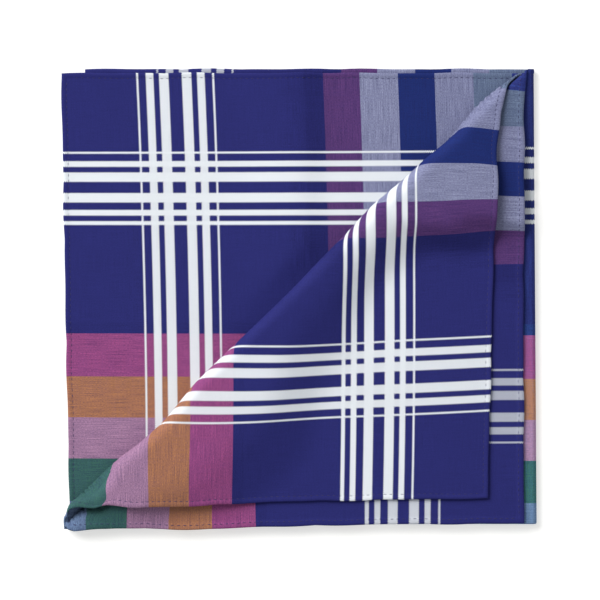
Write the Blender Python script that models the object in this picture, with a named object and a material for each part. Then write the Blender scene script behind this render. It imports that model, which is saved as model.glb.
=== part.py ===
"""A square cotton handkerchief, folded in four, its upper two sheets rolled back over the diagonal.

The cloth is cut flat, thickened, and then bent point by point: in half about its bottom fold,
in half again about its right fold, and last over the soft diagonal roll. Lengths in this
script are millimetres, and the finished mesh is brought to metres.
"""
import math

import bmesh
import bpy
from mathutils import Matrix, Vector

METRES = 0.001

# Cloth: its half width, and its length from the bottom fold to each of its two long hems.
HALF_WIDTH = 225.0
OUTER_LENGTH = 217.0
INNER_LENGTH = 215.0
THICKNESS = 1.0
LAYER_GAP = 0.2
PITCH = THICKNESS + LAYER_GAP

# The two folds that make the packet, as the radius at the middle of what each one turns.
BOTTOM_FOLD = PITCH / 2
RIGHT_FOLD = PITCH
BOTTOM_REACH = math.pi * BOTTOM_FOLD / 2
RIGHT_REACH = math.pi * RIGHT_FOLD / 2

# The packet, and its diagonal from the lower left corner to the upper right one.
WIDTH = HALF_WIDTH - RIGHT_REACH
HEIGHT = OUTER_LENGTH - BOTTOM_REACH
DIAGONAL = math.hypot(WIDTH, HEIGHT)
ACROSS = WIDTH / DIAGONAL
UP = HEIGHT / DIAGONAL

# The roll, at places along the diagonal: its outline beyond the diagonal, the radius of the outer
# and of the inner sheet's curl, the shelf behind the curl, and the slope that leads down from it.
ROLL_COLUMNS = ("along", "edge", "outer", "inner", "shelf", "slope_deg", "bend")
ROLL = (
    (0.0, 2.4, 2.0, 0.7, 0.0, 14.0, 20.0),
    (14.0, 1.8, 3.7, 1.4, 4.0, 16.0, 24.0),
    (32.0, 1.8, 4.9, 2.0, 10.0, 14.0, 40.0),
    (64.0, 1.9, 5.0, 2.4, 18.0, 13.0, 60.0),
    (95.0, 4.4, 5.0, 2.4, 24.0, 13.0, 60.0),
    (150.0, 3.8, 5.0, 2.4, 2.0, 14.0, 60.0),
    (190.0, 4.8, 5.6, 2.6, 0.0, 24.0, 24.0),
    (210.0, 5.7, 6.0, 2.8, 0.0, 22.0, 28.0),
    (235.0, 4.2, 6.0, 3.0, 22.0, 24.0, 22.0),
    (262.0, 3.4, 5.4, 2.6, 46.0, 24.0, 22.0),
    (286.0, 2.0, 3.2, 1.4, 60.0, 17.0, 34.0),
    (310.0, 2.4, 1.8, 0.6, 30.0, 14.0, 30.0),
)

# Where the rolled-back sheets come to lie, from the lower right corner of the packet: the places of
# the cloth's corner on the left end of the bottom fold, its free corner, and its upper right one.
OUTER_FLAP = ((-235.3, 10.0), (-19.5, 11.7), (-12.8, 234.7))
INNER_FLAP = ((-221.0, -1.8), (-4.4, -0.2), (-3.5, 223.1))
FLAP_SETTLES = (25.0, 75.0)
SHIFT_FADES = 80.0
FREE_WITHIN = 60.0
END_CALM = 70.0
LIFT_TRIES = 4

# Where the lifted cloth is tucked in towards the flap: places along the diagonal between which it
# grows and dies away, how deep it is, and over how much of the flap it fades.
TUCK_COLUMNS = ("first", "full", "still_full", "last", "depth", "fades_over")
TUCKS = (
    (10.0, 22.0, 27.0, 44.0, 5.5, 9.0),
    (240.0, 272.0, 280.0, 302.0, 3.0, 400.0),
)
TUCK_RISE = 2.0

# The outer sheet's slide down the roll at its upper right end: where it begins, and where it is full.
SLIDE_COLUMNS = ("first", "full", "length")
SLIDE = (258.0, 284.0, 4.4)

# Small shifts that keep the packet as uneven as it lies.
CORNER_SAG = (3.5, -6.2)
CORNER_FLAT_SHARE = 0.35
CORNER_OUTER_REACH = 12.0
OUTER_HEM_SAG = (28.0, 20.0, 0.9)
LOWER_LEFT_INSET = 4.0
BACK_CORNER_INSET = 11.3
RIGHT_FOLD_LEAN = 1.4
HEM_WAVES = ((0.35, 83.0, 0.4), (0.2, 37.0, 1.9))
HEM_WAVE_DEPTH = 30.0
HEM_WAVE_CALM = 40.0

# Where the flat cloth is cut so that it can bend: steps across each fold and along the roll.
BOTTOM_STEPS = 6
RIGHT_STEPS = 8
GRID_STEP = 14.0
PLAIN_STEP = 40.0
CLEAR_OF_FOLD = 5.0
OUTER_ROWS = ((0.0, 1.0, 6), (6.0, 2.0, 11), (28.0, 4.7, 13))
INNER_ROWS = ((-5.0, 1.0, 5), (0.0, 0.45, 5), (2.25, 1.1, 11), (14.35, 4.7, 13))
SNAP = 0.25

COLOUR = (0.035, 0.036, 0.155, 1.0)
ROUGHNESS = 0.8


def smooth(share):
    """Nought up to nought, one from one on, and an even S between."""
    share = min(max(share, 0.0), 1.0)
    return share * share * (3 - 2 * share)


def roll_at(along):
    """The row of the roll at this place along the diagonal, eased between its stations."""
    along = min(max(along, ROLL[0][0]), ROLL[-1][0])
    for before, after in zip(ROLL, ROLL[1:]):
        if along <= after[0]:
            break
    share = smooth((along - before[0]) / (after[0] - before[0]))
    values = [a + (b - a) * share for a, b in zip(before, after)]
    return dict(zip(ROLL_COLUMNS, values))


def half_turn(distance, height, radius):
    """A sheet folded in two at nought: how far a point lies from the fold, and its height."""
    reach = math.pi * radius / 2
    if distance > reach:
        return distance - reach, radius + height
    if distance < -reach:
        return -distance - reach, -radius - height
    angle = (reach - distance) / radius
    return -(radius + height) * math.sin(angle), (radius + height) * math.cos(angle)


def roll_section(length, radius, rise, row):
    """The roll's section at a length of cloth from where it lifts: place back, height, direction.

    The sheet curls through half a turn, runs back on a level shelf, then comes down a slope
    with an even bend at its head and at its foot, to lie `rise` above where it lifted.
    """
    drop = max(2 * radius - rise, 0.0)
    bend = row["bend"]
    slope = min(math.radians(row["slope_deg"]), math.acos(1 - min(drop / (2 * bend), 1.0)))
    straight = 0.0
    if slope > 0.01:
        straight = max(drop - 2 * bend * (1 - math.cos(slope)), 0.0) / math.sin(slope)
    curl = math.pi * radius
    if length < curl:
        angle = length / radius
        return radius * math.sin(angle), radius * (1 - math.cos(angle)), angle
    back, height, left = 0.0, 2 * radius, length - curl
    step = min(left, row["shelf"])
    back, left = back - step, left - step
    if left <= 0:
        return back, height, math.pi
    for kind in ("head", "straight", "foot"):
        run = straight if kind == "straight" else bend * slope
        step = min(left, run)
        if kind == "head":
            angle = step / bend
            back -= bend * math.sin(angle)
            height -= bend * (1 - math.cos(angle))
        elif kind == "straight":
            angle = slope
            back -= step * math.cos(slope)
            height -= step * math.sin(slope)
        else:
            angle = slope - step / bend
            back -= bend * (math.sin(slope) - math.sin(angle))
            height -= bend * (math.cos(angle) - math.cos(slope))
        left -= step
        if left <= 0:
            return back, height, math.pi + angle
    return back - left, height, math.pi


def landing(x, y, corners):
    """Where a point of a rolled-back sheet comes to lie, from the places of three of its corners."""
    across = (x + WIDTH) / WIDTH
    up = y / HEIGHT
    start, free, end = (Vector(corner) for corner in corners)
    along_hem = free - start
    along_top = end - free
    return start + along_hem * up + along_top * across


def along_and_beyond(x, y):
    """A place in the packet, as its distance along the diagonal and its distance beyond it."""
    return (x + WIDTH) * ACROSS + y * UP, -(x + WIDTH) * UP + y * ACROSS


def packet_place(along, beyond):
    return Vector((along * ACROSS - beyond * UP - WIDTH, along * UP + beyond * ACROSS))


def held(x, y):
    """How freely a place in the upper pair may shift: not at all at the two folds that hold it."""
    return smooth(-x / FREE_WITHIN) * smooth(y / FREE_WITHIN)


def lift_line(x, y, radius, rise, corners):
    """How a place in the upper pair shifts, the row of the roll there, and where its sheet lifts.

    The cloth beyond the roll is settled by where the flap comes to lie, so the line from which it
    lifts is found from there, through the length that the curl and its slope take up.
    """
    along = along_and_beyond(x, y)[0]
    lies_along, reach = along_and_beyond(*landing(*packet_place(along, 0.0), corners))
    drift = lies_along - along
    calm = smooth(along / END_CALM) * smooth((DIAGONAL - along) / END_CALM)
    start = 0.0
    for _ in range(LIFT_TRIES):
        share = held(*packet_place(along, start))
        row = roll_at(along + drift * share)
        lift = row["edge"] - THICKNESS / 2 - row["outer"]
        taken_up = DIAGONAL + roll_section(DIAGONAL, row[radius], rise, row)[0]
        start = (reach - lift - taken_up) * calm
    return drift, share, row, lift, start


def lifted(height):
    """How far the cloth at this height has left the sheets that lie flat: all the way at one."""
    return smooth((height - RIGHT_FOLD - PITCH / 2) / TUCK_RISE)


def tucked(along, beyond, height, inner):
    """The lifted cloth near an end of the roll, moved in towards the flap."""
    if not inner:
        first, full, length = SLIDE
        along -= length * smooth((along - first) / (full - first)) * lifted(height)
    for first, full, still_full, last, depth, fades_over in TUCKS:
        share = smooth((along - first) / (full - first)) * smooth((last - along) / (last - still_full))
        beyond -= depth * share * lifted(height) * smooth(1 + beyond / fades_over)
    return packet_place(along, beyond)


def roll_over(x, y, height):
    """The upper pair of sheets, rolled back over the diagonal to the lower right."""
    inner = height > RIGHT_FOLD
    radius = "inner" if inner else "outer"
    rise = PITCH if inner else 3 * PITCH
    corners = INNER_FLAP if inner else OUTER_FLAP
    along, beyond = along_and_beyond(x, y)
    drift, share, row, lift, start = lift_line(x, y, radius, rise, corners)
    length = beyond - start
    if length <= 0:
        share = smooth(1 + length / SHIFT_FADES) * held(x, y)
        moved = packet_place(along + drift * share, beyond + (lift - start) * share)
        return moved.x, moved.y, height
    back, climb, angle = roll_section(length, row[radius], rise, row)
    level = RIGHT_FOLD + (PITCH / 2 if inner else -PITCH / 2)
    offset = height - level
    beyond = start + (lift - start) * share + back - offset * math.sin(angle)
    rolled = packet_place(along + drift * share, beyond)
    first, last = FLAP_SETTLES
    rolled = rolled.lerp(landing(x, y, corners), smooth((length - first) / (last - first)))
    height = level + climb + offset * math.cos(angle)
    rolled = tucked(*along_and_beyond(*rolled), height, inner)
    return rolled.x, rolled.y, height


def wave(place):
    """A small uneven wave along a hem."""
    return sum(size * math.sin(place / length * 2 * math.pi + start) for size, length, start in HEM_WAVES)


def uneven(u, v):
    """A point of the flat cloth, moved a little where it lies near a hem."""
    to_side = HALF_WIDTH - abs(u)
    to_end = (OUTER_LENGTH if v > 0 else INNER_LENGTH) - abs(v)
    side = math.copysign(wave(v) * smooth(1 - to_side / HEM_WAVE_DEPTH), u)
    end = math.copysign(wave(u + 20.0) * smooth(1 - to_end / HEM_WAVE_DEPTH), v)
    calm = smooth(abs(v) / HEM_WAVE_CALM), smooth(abs(u) / HEM_WAVE_CALM)
    u += side * calm[0]
    v += end * calm[1]
    if u > 0:
        inset = LOWER_LEFT_INSET * (1 - abs(v) / INNER_LENGTH)
        if v > 0:
            inset += BACK_CORNER_INSET * v / OUTER_LENGTH
        u -= max(inset, 0.0) * u / HALF_WIDTH
    return u, v


def corner_share(x, y, v, height):
    """How much of the corner's sag a place takes: the inner sheet hangs down at the roll's open end."""
    left = min(max(-x / WIDTH, 0.0), 1.0)
    low = min(max(1 - y / HEIGHT, 0.0), 1.0)
    first, over, sag = OUTER_HEM_SAG
    own = smooth(1 + v / CORNER_OUTER_REACH) + sag * smooth((-v - first) / over)
    return (left * low) ** 3 * own * (CORNER_FLAT_SHARE + (1 - CORNER_FLAT_SHARE) * lifted(height))


def place(point):
    """The folded place of a point of the flat, thickened cloth."""
    u, v = uneven(point.x, point.y)
    y, height = half_turn(v, point.z, BOTTOM_FOLD)
    inward, height = half_turn(-u, height, RIGHT_FOLD)
    x = -inward
    if height > 0:
        x, y, height = roll_over(x, y, height)
        share = corner_share(x, y, v, height)
        x += CORNER_SAG[0] * share
        y += CORNER_SAG[1] * share
    x += RIGHT_FOLD_LEAN * (1 + x / WIDTH) * (1 - y / HEIGHT)
    return Vector((x, y, height + RIGHT_FOLD + BOTTOM_FOLD + THICKNESS / 2))


def cut(mesh, point, direction, inside):
    """Cuts the faces whose middle satisfies `inside` along a straight line through a point."""
    faces = [face for face in mesh.faces if inside(face.calc_center_median())]
    edges = {edge for face in faces for edge in face.edges}
    verts = {vert for face in faces for vert in face.verts}
    across = Vector((-direction[1], direction[0], 0.0))
    bmesh.ops.bisect_plane(
        mesh,
        geom=[*faces, *edges, *verts],
        dist=SNAP,
        plane_co=Vector((point[0], point[1], 0.0)),
        plane_no=across,
    )


def fold_lines(reach, steps):
    return [reach * (2 * step / steps - 1) for step in range(steps + 1)]


def rows(runs):
    """Distances beyond the diagonal, from runs of (first, step, how many)."""
    return [first + step * number for first, step, count in runs for number in range(count)]


def cut_folds(mesh):
    for v in fold_lines(BOTTOM_REACH, BOTTOM_STEPS):
        cut(mesh, (0, v), (1, 0), lambda centre: True)
    for u in fold_lines(RIGHT_REACH, RIGHT_STEPS):
        cut(mesh, (u, 0), (0, 1), lambda centre: True)


def cut_roll(mesh):
    """Cuts the two sheets of the upper pair along the lines about which they roll."""
    for side, runs in ((1, INNER_ROWS), (-1, OUTER_ROWS)):
        for distance in rows(runs):
            start = (-HALF_WIDTH - distance * UP, side * (BOTTOM_REACH + distance * ACROSS))
            cut(
                mesh,
                start,
                (ACROSS, side * UP),
                lambda centre: centre.x < -RIGHT_REACH and centre.y * side > BOTTOM_REACH,
            )


def cut_grid(mesh):
    """Cuts across the sheets, close together where they roll and wide apart where they lie flat."""
    for side, step in ((-1, GRID_STEP), (1, PLAIN_STEP)):
        for number in range(1, int(HALF_WIDTH / step) + 1):
            u = side * (HALF_WIDTH - number * step)
            if abs(u) > RIGHT_REACH + CLEAR_OF_FOLD:
                cut(mesh, (u, 0), (0, 1), lambda centre: centre.x * side > RIGHT_REACH)
        for end in (-1, 1):
            for number in range(1, int(INNER_LENGTH / step)):
                v = end * (BOTTOM_REACH + number * step)
                cut(mesh, (0, v), (1, 0), lambda centre: centre.x * side > -RIGHT_REACH)


def flat_cloth():
    """The cloth laid out flat, cut wherever it will bend."""
    mesh = bmesh.new()
    bmesh.ops.create_grid(mesh, x_segments=1, y_segments=1, size=1.0)
    for vert in mesh.verts:
        vert.co.x *= HALF_WIDTH
        vert.co.y *= OUTER_LENGTH if vert.co.y > 0 else INNER_LENGTH
    cut_folds(mesh)
    cut_grid(mesh)
    cut_roll(mesh)
    bmesh.ops.triangulate(mesh, faces=mesh.faces[:])
    return mesh


def folded_cloth():
    mesh = flat_cloth()
    bmesh.ops.solidify(mesh, geom=mesh.faces[:], thickness=THICKNESS)
    lowest = min(vert.co.z for vert in mesh.verts)
    for vert in mesh.verts:
        vert.co.z -= lowest + THICKNESS / 2
    bmesh.ops.recalc_face_normals(mesh, faces=mesh.faces[:])
    for vert in mesh.verts:
        vert.co = place(vert.co)
    return mesh


def centred(mesh):
    """Brings the mesh to metres, with its origin under the middle of its box."""
    low = Vector([min(vert.co[axis] for vert in mesh.verts) for axis in range(3)])
    high = Vector([max(vert.co[axis] for vert in mesh.verts) for axis in range(3)])
    middle = (low + high) / 2
    move = Matrix.Translation(Vector((-middle.x, -middle.y, -low.z)))
    bmesh.ops.transform(mesh, matrix=Matrix.Scale(METRES, 4) @ move, verts=mesh.verts[:])


def cotton():
    material = bpy.data.materials.new("navy_cotton")
    material.use_nodes = True
    shader = material.node_tree.nodes["Principled BSDF"]
    shader.inputs["Base Color"].default_value = COLOUR
    shader.inputs["Roughness"].default_value = ROUGHNESS
    shader.inputs["Metallic"].default_value = 0.0
    return material


for old in list(bpy.data.objects):
    bpy.data.objects.remove(old, do_unlink=True)

cloth = folded_cloth()
centred(cloth)
data = bpy.data.meshes.new("handkerchief")
cloth.to_mesh(data)
cloth.free()
data.materials.append(cotton())
data.shade_smooth()
data.set_sharp_from_angle(angle=math.radians(40))
handkerchief = bpy.data.objects.new("handkerchief", data)
bpy.context.scene.collection.objects.link(handkerchief)
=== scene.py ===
import math

import bmesh
import bpy
from mathutils import Matrix, Vector


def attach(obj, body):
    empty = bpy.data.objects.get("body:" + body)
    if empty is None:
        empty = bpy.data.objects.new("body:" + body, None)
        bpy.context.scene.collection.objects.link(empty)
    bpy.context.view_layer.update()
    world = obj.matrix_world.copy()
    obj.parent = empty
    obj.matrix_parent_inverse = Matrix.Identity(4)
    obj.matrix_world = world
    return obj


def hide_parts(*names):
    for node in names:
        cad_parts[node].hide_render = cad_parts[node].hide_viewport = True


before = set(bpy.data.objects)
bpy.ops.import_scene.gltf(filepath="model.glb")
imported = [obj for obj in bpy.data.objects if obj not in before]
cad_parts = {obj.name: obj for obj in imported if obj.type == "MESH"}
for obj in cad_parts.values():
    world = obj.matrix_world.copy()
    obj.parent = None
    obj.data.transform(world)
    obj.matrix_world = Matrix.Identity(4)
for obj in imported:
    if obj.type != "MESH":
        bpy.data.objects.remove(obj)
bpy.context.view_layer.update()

# The handkerchief: one square of yarn-dyed cotton lawn, folded in half twice, its upper two layers
# rolled back softly over the diagonal. All four edges are turned to the back twice and stitched.
# Lengths are millimetres here, and the finished mesh is brought to metres.
METRES = 0.001
PACKET_MIDDLE = Vector((-109.73, 106.02, 0.0))

# Its half width, its length from the bottom fold to each of its two long hems, how thick it is, and
# the pitch of the layers, with the height at which the folds' own middle lies.
HALF_WIDTH = 225.0
OUTER_LENGTH = 217.0
INNER_LENGTH = 215.0
CLOTH = 0.36
PITCH = 1.2
LOWEST = 2.3

# The two folds that make the packet, and the packet's own width, height and diagonal.
BOTTOM_FOLD = PITCH / 2
RIGHT_FOLD = PITCH
BOTTOM_REACH = math.pi * BOTTOM_FOLD / 2
RIGHT_REACH = math.pi * RIGHT_FOLD / 2
WIDTH = HALF_WIDTH - RIGHT_REACH
HEIGHT = OUTER_LENGTH - BOTTOM_REACH
DIAGONAL = math.hypot(WIDTH, HEIGHT)
ACROSS = WIDTH / DIAGONAL
UP = HEIGHT / DIAGONAL

# The roll, at places along the diagonal: its outline beyond the diagonal, the radius of the outer
# and of the inner sheet's curl, the shelf behind the curl, and the slope that leads down from it.
ROLL_COLUMNS = ("along", "edge", "outer", "inner", "shelf", "slope_deg", "bend")
ROLL = (
    (0.0, 2.4, 2.0, 0.7, 0.0, 14.0, 20.0),
    (14.0, 1.8, 3.7, 1.4, 4.0, 16.0, 24.0),
    (32.0, 1.8, 4.9, 2.0, 10.0, 14.0, 40.0),
    (64.0, 1.9, 5.0, 2.4, 18.0, 13.0, 60.0),
    (95.0, 4.4, 5.0, 2.4, 24.0, 13.0, 60.0),
    (150.0, 3.8, 5.0, 2.4, 2.0, 14.0, 60.0),
    (190.0, 4.8, 5.6, 2.6, 0.0, 24.0, 24.0),
    (210.0, 5.7, 6.0, 2.8, 0.0, 22.0, 28.0),
    (235.0, 4.2, 6.0, 3.0, 22.0, 24.0, 22.0),
    (262.0, 3.4, 5.4, 2.6, 46.0, 24.0, 22.0),
    (286.0, 2.0, 3.2, 1.4, 60.0, 17.0, 34.0),
    (310.0, 2.4, 1.8, 0.6, 30.0, 14.0, 30.0),
)

# Where the two rolled-back sheets come to lie, from the lower right corner of the packet: the places
# of the cloth's corner on the left end of the bottom fold, its free corner, and its upper right one.
OUTER_FLAP = ((-235.3, 10.0), (-19.5, 11.7), (-12.8, 234.7))
INNER_FLAP = ((-221.0, -1.2), (-4.4, -0.2), (-3.5, 223.1))
FLAP_SETTLES = (25.0, 75.0)
SHIFT_FADES = 80.0
FREE_WITHIN = 60.0
END_CALM = 70.0
LIFT_TRIES = 4

# Where the roll is tucked in towards the flap: its places along the diagonal, how deep the tuck is,
# and over how much of the flap it fades.
TUCK_COLUMNS = ("first", "full", "still_full", "last", "depth", "fades_over")
TUCKS = (
    (10.0, 22.0, 27.0, 44.0, 5.5, 9.0),
    (240.0, 272.0, 280.0, 302.0, 3.0, 400.0),
)
TUCK_RISE = 2.0

# The outer sheet's slide down the roll at its upper right end: where it begins, and is full.
SLIDE_FIRST = 258.0
SLIDE_FULL = 284.0
SLIDE_LENGTH = 4.4

# How the inner sheet, and the outer sheet's long hem, hang down at the roll's open lower left end.
CORNER_SAG = (3.5, -6.2)
CORNER_FLAT_SHARE = 0.35
CORNER_OUTER_REACH = 12.0
OUTER_HEM_FIRST = 28.0
OUTER_HEM_OVER = 20.0
OUTER_HEM_SAG = 0.9

# Small shifts that keep the packet as uneven as it lies.
LOWER_LEFT_INSET = 4.0
BACK_CORNER_INSET = 11.3
RIGHT_FOLD_LEAN = 1.4
HEM_WAVES = ((0.35, 83.0, 0.4), (0.2, 37.0, 1.9))
HEM_WAVE_DEPTH = 30.0
HEM_WAVE_CALM = 40.0

# The old crease on the third layer: where it begins, is highest and ends, and how it fades out below.
RIDGE_FIRST = -145.0
RIDGE_TOP = -109.0
RIDGE_LAST = -97.0
RIDGE_HEIGHT = 1.7
RIDGE_CLEAR = 6.0
RIDGE_FADES = 10.0

# Distance in from the cut edge, and how far the face and the back stand from the middle there.
HEM_PROFILE = (
    (0.0, 0.20, -0.20),
    (0.3, 0.42, -0.44),
    (1.1, 0.46, -0.54),
    (1.9, 0.36, -0.53),
    (2.4, 0.20, -0.48),
    (2.75, 0.18, -0.30),
    (3.1, 0.20, -0.18),
    (4.2, 0.18, -0.18),
)

# How closely the cloth is cut: across its rolled half and its plain half, up it, and at its folds.
FINE_STEP = 1.6
PLAIN_STEP = 5.0
LONG_STEP = 2.05
RIGHT_STEPS = 12
BOTTOM_STEPS = 10
FOLD_SPREAD = 1.3


def smooth(share):
    """Nought up to nought, one from one on, and an even S between."""
    share = min(max(share, 0.0), 1.0)
    return share * share * (3 - 2 * share)


def roll_at(along):
    """The row of the roll at this place along the diagonal, eased between its stations."""
    along = min(max(along, ROLL[0][0]), ROLL[-1][0])
    for before, after in zip(ROLL, ROLL[1:]):
        if along <= after[0]:
            break
    share = smooth((along - before[0]) / (after[0] - before[0]))
    values = [a + (b - a) * share for a, b in zip(before, after)]
    return dict(zip(ROLL_COLUMNS, values))


def half_turn(distance, height, radius):
    """A sheet folded in two at nought: how far a point lies from the fold, and its height."""
    reach = math.pi * radius / 2
    if distance > reach:
        return distance - reach, radius + height
    if distance < -reach:
        return -distance - reach, -radius - height
    angle = (reach - distance) / radius
    return -(radius + height) * math.sin(angle), (radius + height) * math.cos(angle)


def roll_section(length, radius, rise, row):
    """The roll's section at a length of cloth from where it lifts: place back, height, direction."""
    drop = max(2 * radius - rise, 0.0)
    bend = row["bend"]
    slope = min(math.radians(row["slope_deg"]), math.acos(1 - min(drop / (2 * bend), 1.0)))
    straight = 0.0
    if slope > 0.01:
        straight = max(drop - 2 * bend * (1 - math.cos(slope)), 0.0) / math.sin(slope)
    curl = math.pi * radius
    if length < curl:
        angle = length / radius
        return radius * math.sin(angle), radius * (1 - math.cos(angle)), angle
    back, height, left = 0.0, 2 * radius, length - curl
    step = min(left, row["shelf"])
    back, left = back - step, left - step
    if left <= 0:
        return back, height, math.pi
    for kind in ("head", "straight", "foot"):
        run = straight if kind == "straight" else bend * slope
        step = min(left, run)
        if kind == "head":
            angle = step / bend
            back -= bend * math.sin(angle)
            height -= bend * (1 - math.cos(angle))
        elif kind == "straight":
            angle = slope
            back -= step * math.cos(slope)
            height -= step * math.sin(slope)
        else:
            angle = slope - step / bend
            back -= bend * (math.sin(slope) - math.sin(angle))
            height -= bend * (math.cos(angle) - math.cos(slope))
        left -= step
        if left <= 0:
            return back, height, math.pi + angle
    return back - left, height, math.pi


def landing(x, y, corners):
    """Where a point of a rolled-back sheet comes to lie, from the places of three of its corners."""
    start, free, end = (Vector(corner) for corner in corners)
    return start + (free - start) * (y / HEIGHT) + (end - free) * ((x + WIDTH) / WIDTH)


def along_and_beyond(x, y):
    """A place in the packet, as its distance along the diagonal and its distance beyond it."""
    return (x + WIDTH) * ACROSS + y * UP, -(x + WIDTH) * UP + y * ACROSS


def packet_place(along, beyond):
    return Vector((along * ACROSS - beyond * UP - WIDTH, along * UP + beyond * ACROSS))


def held(x, y):
    """How freely a place in the upper pair may shift: not at all at the two folds that hold it."""
    return smooth(-x / FREE_WITHIN) * smooth(y / FREE_WITHIN)


def lift_line(x, y, radius, rise, corners):
    """How a place in the upper pair shifts, the row of the roll there, and where its sheet lifts."""
    along = along_and_beyond(x, y)[0]
    lies_along, reach = along_and_beyond(*landing(*packet_place(along, 0.0), corners))
    drift = lies_along - along
    calm = smooth(along / END_CALM) * smooth((DIAGONAL - along) / END_CALM)
    start = 0.0
    for _ in range(LIFT_TRIES):
        share = held(*packet_place(along, start))
        row = roll_at(along + drift * share)
        lift = row["edge"] - CLOTH / 2 - row["outer"]
        taken_up = DIAGONAL + roll_section(DIAGONAL, row[radius], rise, row)[0]
        start = (reach - lift - taken_up) * calm
    return drift, share, row, lift, start


def lifted(height):
    """How far the cloth at this height has left the sheets that lie flat: all the way at one."""
    return smooth((height - RIGHT_FOLD - PITCH / 2) / TUCK_RISE)


def tucked(along, beyond, height, inner):
    """The lifted cloth near an end of the roll, moved in towards the flap."""
    if not inner:
        share = smooth((along - SLIDE_FIRST) / (SLIDE_FULL - SLIDE_FIRST))
        along -= SLIDE_LENGTH * share * lifted(height)
    for row in TUCKS:
        tuck = dict(zip(TUCK_COLUMNS, row))
        grows = smooth((along - tuck["first"]) / (tuck["full"] - tuck["first"]))
        dies = smooth((tuck["last"] - along) / (tuck["last"] - tuck["still_full"]))
        share = grows * dies * lifted(height) * smooth(1 + beyond / tuck["fades_over"])
        beyond -= tuck["depth"] * share
    return packet_place(along, beyond)


def roll_over(x, y, height, inner):
    """The upper pair of sheets, rolled back over the diagonal to the lower right."""
    radius = "inner" if inner else "outer"
    rise = PITCH if inner else 3 * PITCH
    corners = INNER_FLAP if inner else OUTER_FLAP
    along, beyond = along_and_beyond(x, y)
    drift, share, row, lift, start = lift_line(x, y, radius, rise, corners)
    length = beyond - start
    if length <= 0:
        share = smooth(1 + length / SHIFT_FADES) * held(x, y)
        moved = packet_place(along + drift * share, beyond + (lift - start) * share)
        return moved.x, moved.y, height
    back, climb, angle = roll_section(length, row[radius], rise, row)
    level = RIGHT_FOLD + (PITCH / 2 if inner else -PITCH / 2)
    offset = height - level
    beyond = start + (lift - start) * share + back - offset * math.sin(angle)
    rolled = packet_place(along + drift * share, beyond)
    first, last = FLAP_SETTLES
    rolled = rolled.lerp(landing(x, y, corners), smooth((length - first) / (last - first)))
    height = level + climb + offset * math.cos(angle)
    rolled = tucked(*along_and_beyond(*rolled), height, inner)
    return rolled.x, rolled.y, height


def wave(place):
    """A small uneven wave along a hem."""
    return sum(size * math.sin(place / length * 2 * math.pi + start) for size, length, start in HEM_WAVES)


def uneven(u, v):
    """A point of the flat cloth, moved a little where it lies near a hem."""
    to_side = HALF_WIDTH - abs(u)
    to_end = (OUTER_LENGTH if v > 0 else INNER_LENGTH) - abs(v)
    side = math.copysign(wave(v) * smooth(1 - to_side / HEM_WAVE_DEPTH), u)
    end = math.copysign(wave(u + 20.0) * smooth(1 - to_end / HEM_WAVE_DEPTH), v)
    calm = smooth(abs(v) / HEM_WAVE_CALM), smooth(abs(u) / HEM_WAVE_CALM)
    u += side * calm[0]
    v += end * calm[1]
    if u > 0:
        inset = LOWER_LEFT_INSET * (1 - abs(v) / INNER_LENGTH)
        if v > 0:
            inset += BACK_CORNER_INSET * v / OUTER_LENGTH
        u -= max(inset, 0.0) * u / HALF_WIDTH
    return u, v


def ridge(x, y):
    """An old crease across the sheet below the flap: it rises gently, and falls away faster."""
    rise = smooth((x - RIDGE_FIRST) / (RIDGE_TOP - RIDGE_FIRST))
    fall = smooth((RIDGE_LAST - x) / (RIDGE_LAST - RIDGE_TOP))
    clear = smooth((along_and_beyond(x, y)[1] - RIDGE_CLEAR) / RIDGE_FADES)
    return RIDGE_HEIGHT * rise * fall * clear


def corner_share(x, y, v, height):
    """How much of the corner's sag a place takes."""
    left = min(max(-x / WIDTH, 0.0), 1.0)
    low = min(max(1 - y / HEIGHT, 0.0), 1.0)
    own = smooth(1 + v / CORNER_OUTER_REACH)
    own += OUTER_HEM_SAG * smooth((-v - OUTER_HEM_FIRST) / OUTER_HEM_OVER)
    return (left * low) ** 3 * own * (CORNER_FLAT_SHARE + (1 - CORNER_FLAT_SHARE) * lifted(height))


def folded(point):
    """The folded place, in metres, of a point of the flat cloth."""
    u, v = uneven(point.x, point.y)
    y, height = half_turn(v, point.z, BOTTOM_FOLD)
    inward, height = half_turn(-u, height, RIGHT_FOLD)
    x = -inward
    if height > 0:
        x, y, height = roll_over(x, y, height, v > 0)
        share = corner_share(x, y, v, height)
        x += CORNER_SAG[0] * share
        y += CORNER_SAG[1] * share
    elif v < 0:
        height += ridge(x, y)
    x += RIGHT_FOLD_LEAN * (1 + x / WIDTH) * (1 - y / HEIGHT)
    return (Vector((x, y, height + LOWEST)) - PACKET_MIDDLE) * METRES


def hem_faces(from_edge):
    """How far the face and the back of the cloth stand from its middle, this far in from the edge."""
    for before, after in zip(HEM_PROFILE, HEM_PROFILE[1:]):
        if from_edge <= after[0]:
            share = (from_edge - before[0]) / (after[0] - before[0])
            return [a + (b - a) * share for a, b in zip(before[1:], after[1:])]
    return list(HEM_PROFILE[-1][1:])


def cloth_lines(low, high, reach, steps, spacings):
    """Where the cloth is cut along one of its sides: close at its hems and at its fold."""
    hem = [row[0] for row in HEM_PROFILE]
    fold = [reach * FOLD_SPREAD * (2 * step / steps - 1) for step in range(steps + 1)]
    lines = [low + distance for distance in hem] + fold + [high - distance for distance in hem]
    before_fold = (low + hem[-1], fold[0], spacings[0])
    after_fold = (fold[-1], high - hem[-1], spacings[1])
    for first, last, spacing in (before_fold, after_fold):
        count = round((last - first) / spacing)
        lines += [first + (last - first) * number / count for number in range(1, count)]
    return sorted(lines)


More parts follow.
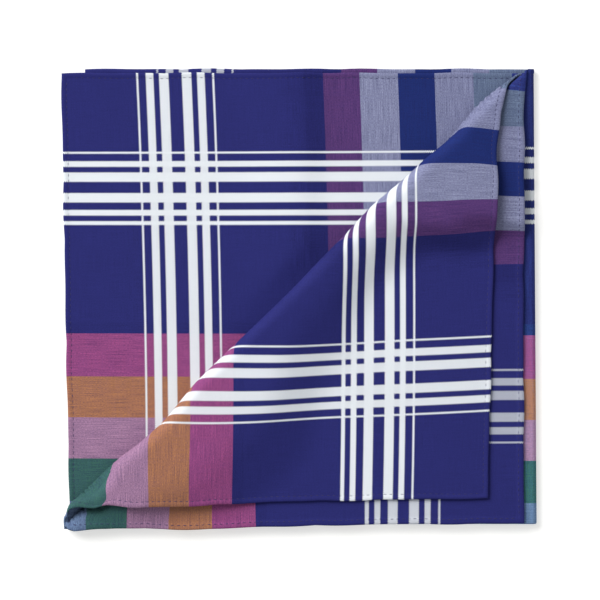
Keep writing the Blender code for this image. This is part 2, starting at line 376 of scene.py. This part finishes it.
u_lines = cloth_lines(-HALF_WIDTH, HALF_WIDTH, RIGHT_REACH, RIGHT_STEPS, (FINE_STEP, PLAIN_STEP))
v_lines = cloth_lines(-INNER_LENGTH, OUTER_LENGTH, BOTTOM_REACH, BOTTOM_STEPS, (LONG_STEP, LONG_STEP))
cloth = bmesh.new()
bmesh.ops.create_grid(cloth, x_segments=len(u_lines) - 1, y_segments=len(v_lines) - 1, size=1.0)
bmesh.ops.solidify(cloth, geom=cloth.faces[:], thickness=0.5)
middle = sum(vert.co.z for vert in cloth.verts) / len(cloth.verts)
bmesh.ops.recalc_face_normals(cloth, faces=cloth.faces[:])
for vert in cloth.verts:
    u = u_lines[round((vert.co.x + 1) / 2 * (len(u_lines) - 1))]
    v = v_lines[round((vert.co.y + 1) / 2 * (len(v_lines) - 1))]
    from_edge = min(HALF_WIDTH - abs(u), OUTER_LENGTH - v, v + INNER_LENGTH)
    face, back = hem_faces(from_edge)
    vert.co = Vector((u, v, face if vert.co.z > middle else back))

# How far the weave has been pulled out of true in each quarter of the cloth, across and then up.
# The columns are the millimetres that go with one, out, up, out times out, out times up and up times
# up, where `out` is the share of the way from the right fold to the side hem, and `up` from the
# bottom fold to the end hem.
DRIFT = {
    ("right", "inner"): ((-0.4, -6.2, 4.7, 3.3, -0.6, -5.4), (-0.5, 0.0, -0.3, 0.9, -2.3, 0.8)),
    ("left", "inner"): ((-0.1, -2.0, 13.2, 1.0, -3.7, -10.7), (-6.1, 14.9, 0.0, -6.2, -2.1, 0.3)),
    ("left", "outer"): ((4.0, 6.0, 0.0, -10.2, 0.0, 0.0), (0.2, -2.0, 7.8, 0.0, 4.9, -11.1)),
    ("right", "outer"): ((6.2, -14.0, 0.0, 1.9, 0.0, 0.0), (0.2, 0.0, 7.8, 0.0, 0.0, -11.1)),
}
UPPER_RIGHT_PULL = -13.0
UPPER_RIGHT_OUT = 0.34
UPPER_RIGHT_UP = 0.8
LOWER_LEFT_PULL = -4.0
LOWER_LEFT_OUT = 0.84
LOWER_LEFT_UP = 0.24


def quarter_drift(side, end, out, up):
    """The drift of one quarter of the cloth, across and up."""
    powers = (1.0, out, up, out * out, out * up, up * up)
    return [sum(a * b for a, b in zip(row, powers)) for row in DRIFT[side, end]]


def stretched(out, up):
    """How the flap's two ends are pulled out of true: on the upper right, and on the lower left."""
    near_end_hem = smooth((up - UPPER_RIGHT_UP) / 0.2)
    near_side_hem = smooth((out - LOWER_LEFT_OUT) / 0.12)
    upper_right = UPPER_RIGHT_PULL * smooth((UPPER_RIGHT_OUT - out) / UPPER_RIGHT_OUT)
    lower_left = LOWER_LEFT_PULL * smooth((LOWER_LEFT_UP - up) / 0.1)
    return upper_right * near_end_hem, lower_left * near_side_hem


def woven(u, v, side, end):
    """Where in the weave a place on the cloth lies, eased from quarter to quarter at the folds."""
    out, up = abs(u) / HALF_WIDTH, abs(v) / OUTER_LENGTH
    drift = quarter_drift(side, end, out, up)
    if side == "left":
        share = smooth(out / 0.3)
        there = quarter_drift("right", end, 0.0, up)
        drift = [a + (b - a) * share for a, b in zip(there, drift)]
        if end == "inner":
            drift = [a + b for a, b in zip(drift, stretched(out, up))]
    if end == "outer":
        share = smooth(up / 0.6)
        there = quarter_drift(side, "inner", out, 0.0)
        drift[0] = there[0] + (drift[0] - there[0]) * share
    return u + drift[0], v + drift[1]


# The map of the weave: millimetres from the middle of the cloth, the face's in the map's left half,
# and the back's in its right half.
weave_map = cloth.loops.layers.uv.new("weave")
for face in cloth.faces:
    is_back = face.normal.z < -0.5
    face.material_index = 1 if is_back else 0
    face.smooth = True
    centre = face.calc_center_median()
    quarter = ("left" if centre.x < 0 else "right", "inner" if centre.y < 0 else "outer")
    for loop in face.loops:
        u, v = woven(loop.vert.co.x, loop.vert.co.y, *quarter)
        loop[weave_map].uv = ((0.75 if is_back else 0.25) + u * METRES, 0.5 + v * METRES)
for vert in cloth.verts:
    vert.co = folded(vert.co)
bmesh.ops.triangulate(cloth, faces=cloth.faces[:], quad_method="LONG_EDGE")

handkerchief_mesh = bpy.data.meshes.new("handkerchief_cloth")
cloth.to_mesh(handkerchief_mesh)
cloth.free()
handkerchief = bpy.data.objects.new("handkerchief_cloth", handkerchief_mesh)
bpy.context.scene.collection.objects.link(handkerchief)


class Wire:
    """A value in a material. Python's own operators on it add Math nodes."""

    def __init__(self, tree, socket):
        self.tree, self.socket = tree, socket

    def node(self, kind, settings=None, values=None, out=0):
        """Adds a node with its settings and its inputs, and gives one of its outputs."""
        made = self.tree.nodes.new(kind)
        for name, value in (settings or {}).items():
            if name == "stops":
                ramp = made.color_ramp
                ramp.interpolation = "CONSTANT"
                for number, (place, colour) in enumerate(value):
                    stop = ramp.elements[0] if number == 0 else ramp.elements.new(place)
                    stop.position, stop.color = place, colour
                ramp.elements.remove(ramp.elements[len(ramp.elements) - 1])
            else:
                setattr(made, name, value)
        for name, value in (values or {}).items():
            if isinstance(value, Wire):
                self.tree.links.new(value.socket, made.inputs[name])
            else:
                made.inputs[name].default_value = value
        return Wire(self.tree, made.outputs[out])

    def sum(self, operation, *others):
        values = dict(enumerate((self, *others)))
        return self.node("ShaderNodeMath", {"operation": operation}, values)

    def __add__(self, other):
        return self.sum("ADD", other)

    def __sub__(self, other):
        return self.sum("SUBTRACT", other)

    def __mul__(self, other):
        return self.sum("MULTIPLY", other)

    def __truediv__(self, other):
        return self.sum("DIVIDE", other)

    def __radd__(self, other):
        return self + other

    def __rmul__(self, other):
        return self * other

    def __rsub__(self, other):
        return self * -1 + other

    def shaded(self, shade):
        """This colour, made lighter or darker."""
        grey = self.node("ShaderNodeCombineColor", None, {0: shade, 1: shade, 2: shade})
        settings = {"data_type": "RGBA", "blend_type": "MULTIPLY"}
        return self.node("ShaderNodeMix", settings, {0: 1.0, 6: self, 7: grey}, 2)

    def mixed(self, other, share):
        """This colour and another one, mixed by a share of the other."""
        values = {0: share, 6: self, 7: other}
        return self.node("ShaderNodeMix", {"data_type": "RGBA", "clamp_factor": True}, values, 2)


# Colours of the yarns as linear light, and the widths of the woven bands out from the middle; the last
# navy runs of the warp carry some painted shade.
NAVY = (0.0215, 0.0232, 0.150)
DEEP_NAVY = (0.0142, 0.0152, 0.107)
DARK_NAVY = (0.0185, 0.0200, 0.132)
WEFT_BANDS = (
    (10.5, (0.2078, 0.3155, 0.4307)),
    (20.2, (0.0556, 0.1917, 0.0611)),
    (20.0, (0.6290, 0.3350, 0.4480)),
    (20.2, (0.6870, 0.2845, 0.0333)),
    (20.0, (0.5230, 0.1023, 0.2503)),
    (6.0, DARK_NAVY),
)
WARP_BANDS = (
    (8.8, (0.0300, 0.1050, 0.3600)),
    (17.4, (0.2130, 0.2850, 0.3555)),
    (17.9, (0.3700, 0.3900, 0.5310)),
    (17.4, (0.0012, 0.0231, 0.1297)),
    (17.7, (0.4130, 0.4340, 0.5800)),
    (17.2, (0.1550, 0.0517, 0.1590)),
    # Past the purple band the navy runs darker: partly a darker yarn run, and in its outer part painted
    # shade of the hollow below the purple band on the flap.
    (9.0, DEEP_NAVY),
    (3.0, DARK_NAVY),
    (6.0, (0.0200, 0.0216, 0.141)),
)
WEFT_STRIPES = (143.3, (1.4, 3.0, 2.9, 3.15, 4.4, 5.6, 4.4, 3.15, 2.9, 3.0, 1.4))
WARP_STRIPES = (147.4, (1.4, 3.4, 3.3, 3.35, 4.3, 6.15, 4.3, 3.3, 3.3, 3.3, 1.4))
WHITE = (0.80, 0.83, 0.86)
BRIGHTNESS = 0.9

# How far from the middle the ramps of bands and stripes reach.
LIMIT = 230.0

# The yarns: their width, the length and the grain of their slubs, the pitch and the depth of the
# floats at a stripe's edge, the pitch of the satin's dots, and the size of the faintest patches.
YARN = 0.32
SLUB_LENGTH = 12.0
GRAIN_WIDTH = 0.3
GRAIN_LENGTH = 0.9
SPECK = 0.4
CROSSING = 0.28
FLOAT_PITCH = 0.9
FLOAT_DEPTH = 0.24
SATIN_DOT = 0.45
PATCH = 38.0
WARP_WHITENESS = 0.94


def band_stops(bands):
    """Ramp stops for bands of yarn, from the middle of the cloth outwards, and navy after them."""
    stops, place = [], 0.0
    for width, colour in (*bands, (LIMIT, NAVY)):
        stops.append((place / LIMIT, (*[part * BRIGHTNESS for part in colour], 1.0)))
        place += width
    return stops


def stripe_stops(stripes):
    """Ramp stops that are one in a stripe and nought between stripes."""
    place, widths = stripes
    stops = [(0.0, (0.0, 0.0, 0.0, 1.0))]
    for number, width in enumerate(widths):
        value = 1.0 - number % 2
        stops.append((place / LIMIT, (value, value, value, 1.0)))
        place += width
    return [*stops, (place / LIMIT, (0.0, 0.0, 0.0, 1.0))]


def cotton(name, left, white_shares):
    """Plain-woven cotton with satin stripes, which show fully on the face and dotted on the back."""
    material = bpy.data.materials.new(name)
    material.use_nodes = True
    tree = material.node_tree
    shader = tree.nodes["Principled BSDF"]
    start = Wire(tree, None)
    place = start.node("ShaderNodeUVMap", {"uv_map": "weave"})
    across = start.node("ShaderNodeSeparateXYZ", None, {0: place})
    up = Wire(tree, across.socket.node.outputs[1])
    across = (across - left) * 1000
    up = (up - 0.5) * 1000

    def noise(across_scale, up_scale, detail=1.0):
        at = start.node("ShaderNodeCombineXYZ", None, {0: across * across_scale, 1: up * up_scale})
        return start.node("ShaderNodeTexNoise", None, {"Vector": at, "Scale": 1.0, "Detail": detail})

    def ripple(value, pitch):
        return (value * (math.pi / pitch)).sum("SINE")

    # The yarns' waver at a stripe's edge, their slubs, and how they cross.
    warp_float = ripple(up, FLOAT_PITCH / 2) * FLOAT_DEPTH
    weft_float = ripple(across, FLOAT_PITCH / 2) * FLOAT_DEPTH
    warp_slub = noise(1 / YARN, 1 / SLUB_LENGTH) * 0.5 + noise(1 / GRAIN_WIDTH, 1 / GRAIN_LENGTH) * 0.5
    weft_slub = noise(1 / SLUB_LENGTH, 1 / YARN) * 0.5 + noise(1 / GRAIN_LENGTH, 1 / GRAIN_WIDTH) * 0.5
    speck = noise(1 / SPECK, 1 / SPECK) - 0.5
    crossing = ripple(across, CROSSING) * ripple(up, CROSSING)

    def ramp(value, stops):
        return start.node("ShaderNodeValToRGB", {"stops": stops}, {"Fac": value})

    # Which bands a place lies in, and how far each set of yarns shows there, with some painted shade in
    # the middle blue band.
    warp_place = across.sum("ABSOLUTE") / LIMIT
    weft_place = up.sum("ABSOLUTE") / LIMIT
    in_warp_band = warp_place.sum("LESS_THAN", sum(row[0] for row in WARP_BANDS) / LIMIT)
    in_weft_band = weft_place.sum("LESS_THAN", sum(row[0] for row in WEFT_BANDS) / LIMIT)
    in_middle = warp_place.sum("LESS_THAN", WARP_BANDS[0][0] / LIMIT)
    weft_part = (weft_slub - 0.5) * (in_weft_band * 0.8 + 0.6)
    warp_part = (warp_slub - 0.5) * (in_warp_band * 0.8 + 0.6)
    # In the middle blue warp band the navy weft shows a little more than elsewhere, and outside the
    # coloured weft bands still more: that extra navy is painted shade, standing for the roll's cast
    # shadow on the blue strip at the right fold.
    weft_over_and_painted_shade = in_middle * (0.38 - in_weft_band * 0.23)
    share = (weft_part - warp_part) * 0.5 + crossing * 0.12 + weft_over_and_painted_shade + 0.5
    warp = ramp(warp_place, band_stops(WARP_BANDS))
    weft = ramp(weft_place, band_stops(WEFT_BANDS))
    warp_white = ramp(warp_place + warp_float / LIMIT, stripe_stops(WARP_STRIPES))
    weft_white = ramp(weft_place + weft_float / LIMIT, stripe_stops(WEFT_STRIPES))
    ground = warp.mixed(weft, share).shaded((weft_part + warp_part) * 0.8 + speck * 0.6 + 1.0)
    white = tuple(part * BRIGHTNESS for part in WHITE) + (1.0,)
    speckle = 1.0
    if white_shares != (1.0, 1.0):
        speckle = ripple(across + up, SATIN_DOT) * ripple(across - up, SATIN_DOT) * 0.5 + 1.0
    colour = ground.mixed(white, warp_white * speckle * (white_shares[0] * WARP_WHITENESS))
    colour = colour.mixed(white, weft_white * speckle * white_shares[1])
    patches = noise(1 / PATCH, 1 / PATCH, 2.0)
    colour = colour.shaded(patches * 0.10 + (weft_slub + warp_slub) * 0.15 + 0.8)
    tree.links.new(colour.socket, shader.inputs["Base Color"])
    roughness = 0.82 - (warp_white + weft_white).sum("MINIMUM", 1.0) * 0.22
    tree.links.new(roughness.socket, shader.inputs["Roughness"])
    relief = crossing * 0.4 + (weft_slub + warp_slub) * 0.8
    bump_values = {"Strength": 0.25, "Distance": 0.0001, "Height": relief}
    bump = start.node("ShaderNodeBump", None, bump_values)
    tree.links.new(bump.socket, shader.inputs["Normal"])
    shader.inputs["Specular IOR Level"].default_value = 0.12
    return material


handkerchief_mesh.materials.append(cotton("cotton_face", 0.25, (1.0, 1.0)))
handkerchief_mesh.materials.append(cotton("cotton_back", 0.75, (0.55, 0.75)))
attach(handkerchief, "root")
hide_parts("handkerchief")

# The stitches: dark blue sewing cotton, a short stitch every few millimetres along each hem, seen on
# both sides of the cloth.
STITCH_PITCH = 2.7
STITCH_LENGTH = 1.7
STITCH_THICK = 0.3
STITCH_FROM_EDGE = 2.5
STITCH_HEIGHTS = (0.18, -0.50)
CORNER_CLEAR = 4.0

stitches = bmesh.new()
stitch_size = Matrix.Diagonal((STITCH_LENGTH / 2, STITCH_THICK / 2, STITCH_THICK / 2, 1.0))
for end in (-1, 1):
    for along_u in (True, False):
        half = HALF_WIDTH if along_u else (OUTER_LENGTH + INNER_LENGTH) / 2
        shift = 0.0 if along_u else (OUTER_LENGTH - INNER_LENGTH) / 2
        edge = (OUTER_LENGTH if end > 0 else INNER_LENGTH) if along_u else HALF_WIDTH
        count = int(2 * (half - CORNER_CLEAR) / STITCH_PITCH)
        turn = Matrix.Rotation(0.0 if along_u else math.pi / 2, 4, "Z")
        for number in range(count):
            along = shift - half + CORNER_CLEAR + (number + 0.5) * STITCH_PITCH
            away = end * (edge - STITCH_FROM_EDGE)
            for height in STITCH_HEIGHTS:
                place = Vector((along, away, height)) if along_u else Vector((away, along, height))
                bmesh.ops.create_icosphere(
                    stitches,
                    subdivisions=1,
                    radius=1.0,
                    matrix=Matrix.Translation(place) @ turn @ stitch_size,
                )
for vert in stitches.verts:
    vert.co = folded(vert.co)
for face in stitches.faces:
    face.smooth = True
stitch_mesh = bpy.data.meshes.new("hem_stitches")
stitches.to_mesh(stitch_mesh)
stitches.free()
hem_stitches = bpy.data.objects.new("hem_stitches", stitch_mesh)
bpy.context.scene.collection.objects.link(hem_stitches)

thread = bpy.data.materials.new("sewing_cotton")
thread.use_nodes = True
thread_shader = thread.node_tree.nodes["Principled BSDF"]
place = Wire(thread.node_tree, None).node("ShaderNodeTexCoord", None, None, 3)
strands = place.node("ShaderNodeTexNoise", None, {"Vector": place, "Scale": 1800.0, "Detail": 1.0})
dark = (0.012, 0.010, 0.060, 1.0)
light = (0.030, 0.026, 0.120, 1.0)
settings = {"data_type": "RGBA", "clamp_factor": True}
colour = strands.node("ShaderNodeMix", settings, {0: strands, 6: dark, 7: light}, 2)
thread.node_tree.links.new(colour.socket, thread_shader.inputs["Base Color"])
thread_shader.inputs["Roughness"].default_value = 0.6
stitch_mesh.materials.append(thread)
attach(hem_stitches, "root")

# The table top that it lies on: matt white card, lit so that it shows plain white.
floor_mesh = bmesh.new()
bmesh.ops.create_grid(floor_mesh, x_segments=1, y_segments=1, size=3.0)
card_mesh = bpy.data.meshes.new("white_card")
floor_mesh.to_mesh(card_mesh)
floor_mesh.free()
white_card = bpy.data.objects.new("white_card", card_mesh)
bpy.context.scene.collection.objects.link(white_card)
card = bpy.data.materials.new("matt_card")
card.use_nodes = True
card_shader = card.node_tree.nodes["Principled BSDF"]
card_shader.inputs["Base Color"].default_value = (0.66, 0.66, 0.65, 1.0)
card_shader.inputs["Emission Color"].default_value = (1.0, 0.985, 0.95, 1.0)
card_shader.inputs["Emission Strength"].default_value = 0.5
card_shader.inputs["Roughness"].default_value = 0.9
card_shader.inputs["Specular IOR Level"].default_value = 0.1
card_mesh.materials.append(card)


def soft_light(name, place, size, power):
    """A square lamp with a soft edge, turned to the packet."""
    lamp = bpy.data.lights.new(name, "AREA")
    lamp.shape = "SQUARE"
    lamp.size, lamp.energy = size, power
    item = bpy.data.objects.new(name, lamp)
    item.location = place
    item.rotation_euler = (-Vector(place)).to_track_quat("-Z", "Y").to_euler()
    bpy.context.scene.collection.objects.link(item)


soft_light("key_light", (-2.1, 2.0, 2.05), 2.4, 175.0)
soft_light("fill_light", (1.4, -1.2, 1.8), 2.0, 8.0)

world = bpy.data.worlds.new("studio")
world.use_nodes = True
world.node_tree.nodes["Background"].inputs["Color"].default_value = (0.93, 0.96, 1.0, 1.0)
world.node_tree.nodes["Background"].inputs["Strength"].default_value = 0.36
bpy.context.scene.world = world
bpy.context.scene.view_settings.view_transform = "Standard"

camera_data = bpy.data.cameras.new("camera")
camera_data.sensor_width = 36.0
camera_data.lens = 251.4
camera = bpy.data.objects.new("camera", camera_data)
camera.location = (0.0003, 0.0, 2.0)
bpy.context.scene.collection.objects.link(camera)
bpy.context.scene.camera = camera
